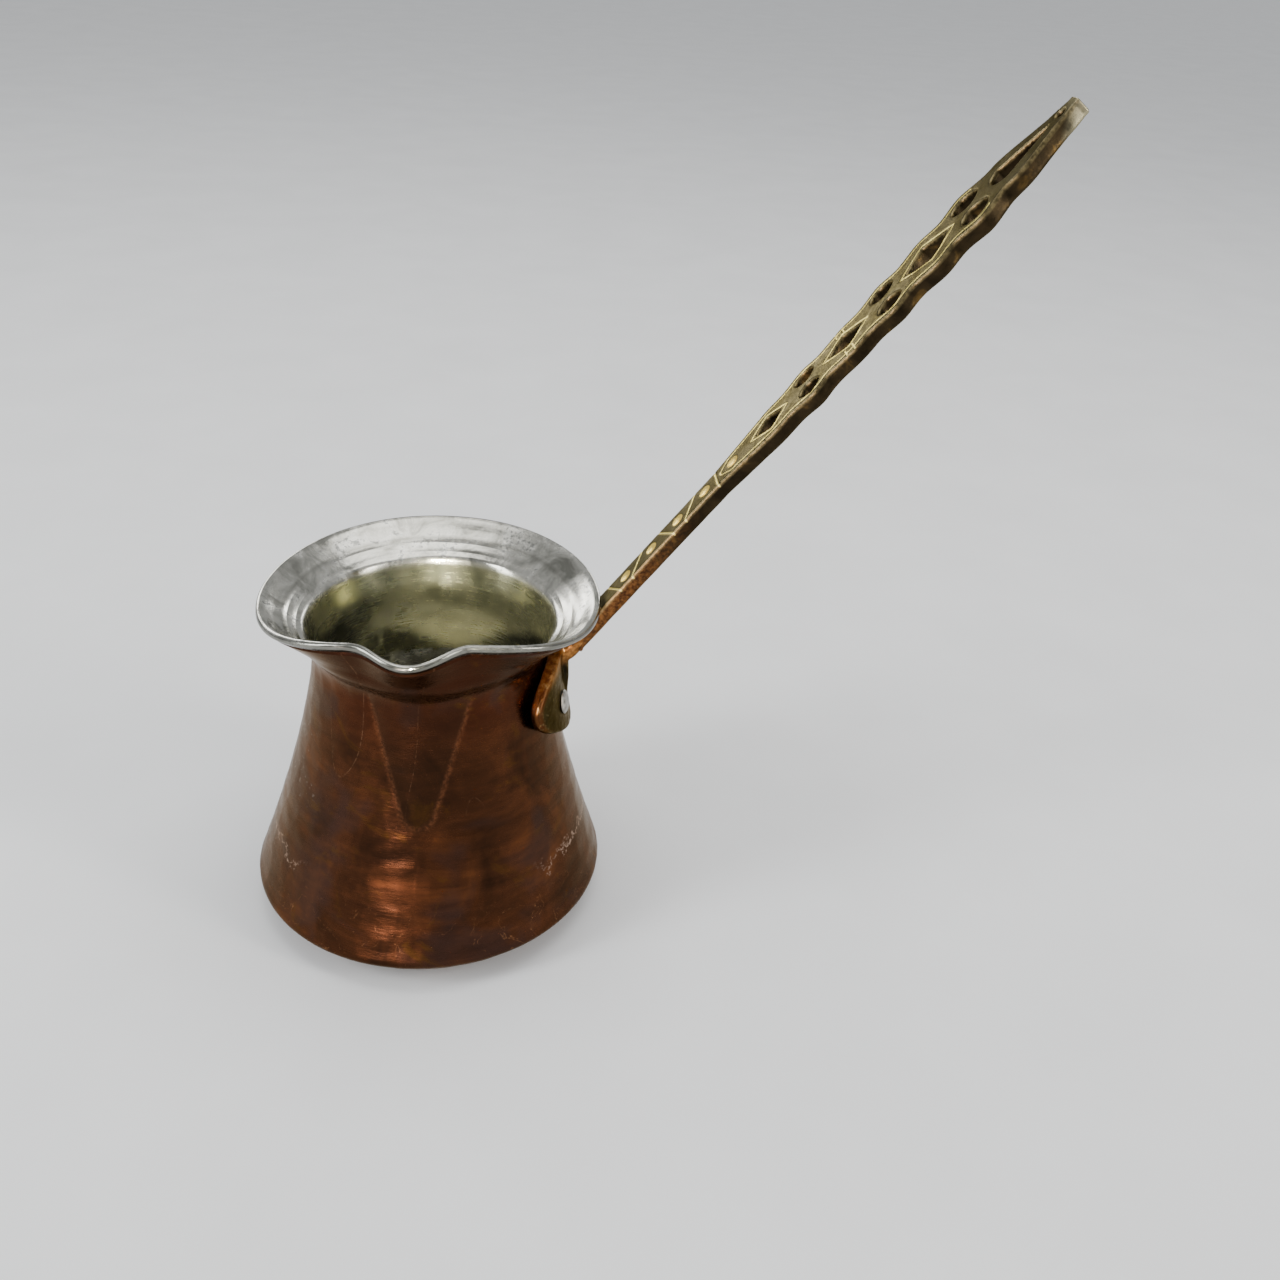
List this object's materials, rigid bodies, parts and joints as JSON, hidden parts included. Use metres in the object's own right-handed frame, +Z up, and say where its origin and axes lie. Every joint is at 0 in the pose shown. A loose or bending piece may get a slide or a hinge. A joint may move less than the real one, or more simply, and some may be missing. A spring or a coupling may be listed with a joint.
{
  "type": "turkish coffee pot",
  "caption": "Hammered copper coffee pot with a flared tinned lip, pinched pouring spout and a long pierced brass handle riveted to the neck.",
  "frame": {"origin": "centre of the flat base, on the surface the pot stands on", "axes": "+Z up through the body, +X towards the handle, spout towards -Y"},
  "size_m": [0.1806, 0.0892, 0.2011],
  "materials": {
    "copper": "hand-hammered copper with a brown patina",
    "tin": "wiped tin coating, bright on the lip and duller inside",
    "brass": "cast brass, worn olive-grey faces and dark brown edges",
    "rivet_metal": "hammered grey rivet metal"
  },
  "bodies": {
    "root": {"copper_body": "copper", "tin_lining": "tin", "brass_handle": "brass", "rivet_spout_side": "rivet_metal", "rivet_far_side": "rivet_metal"}
  },
  "joints": []
}
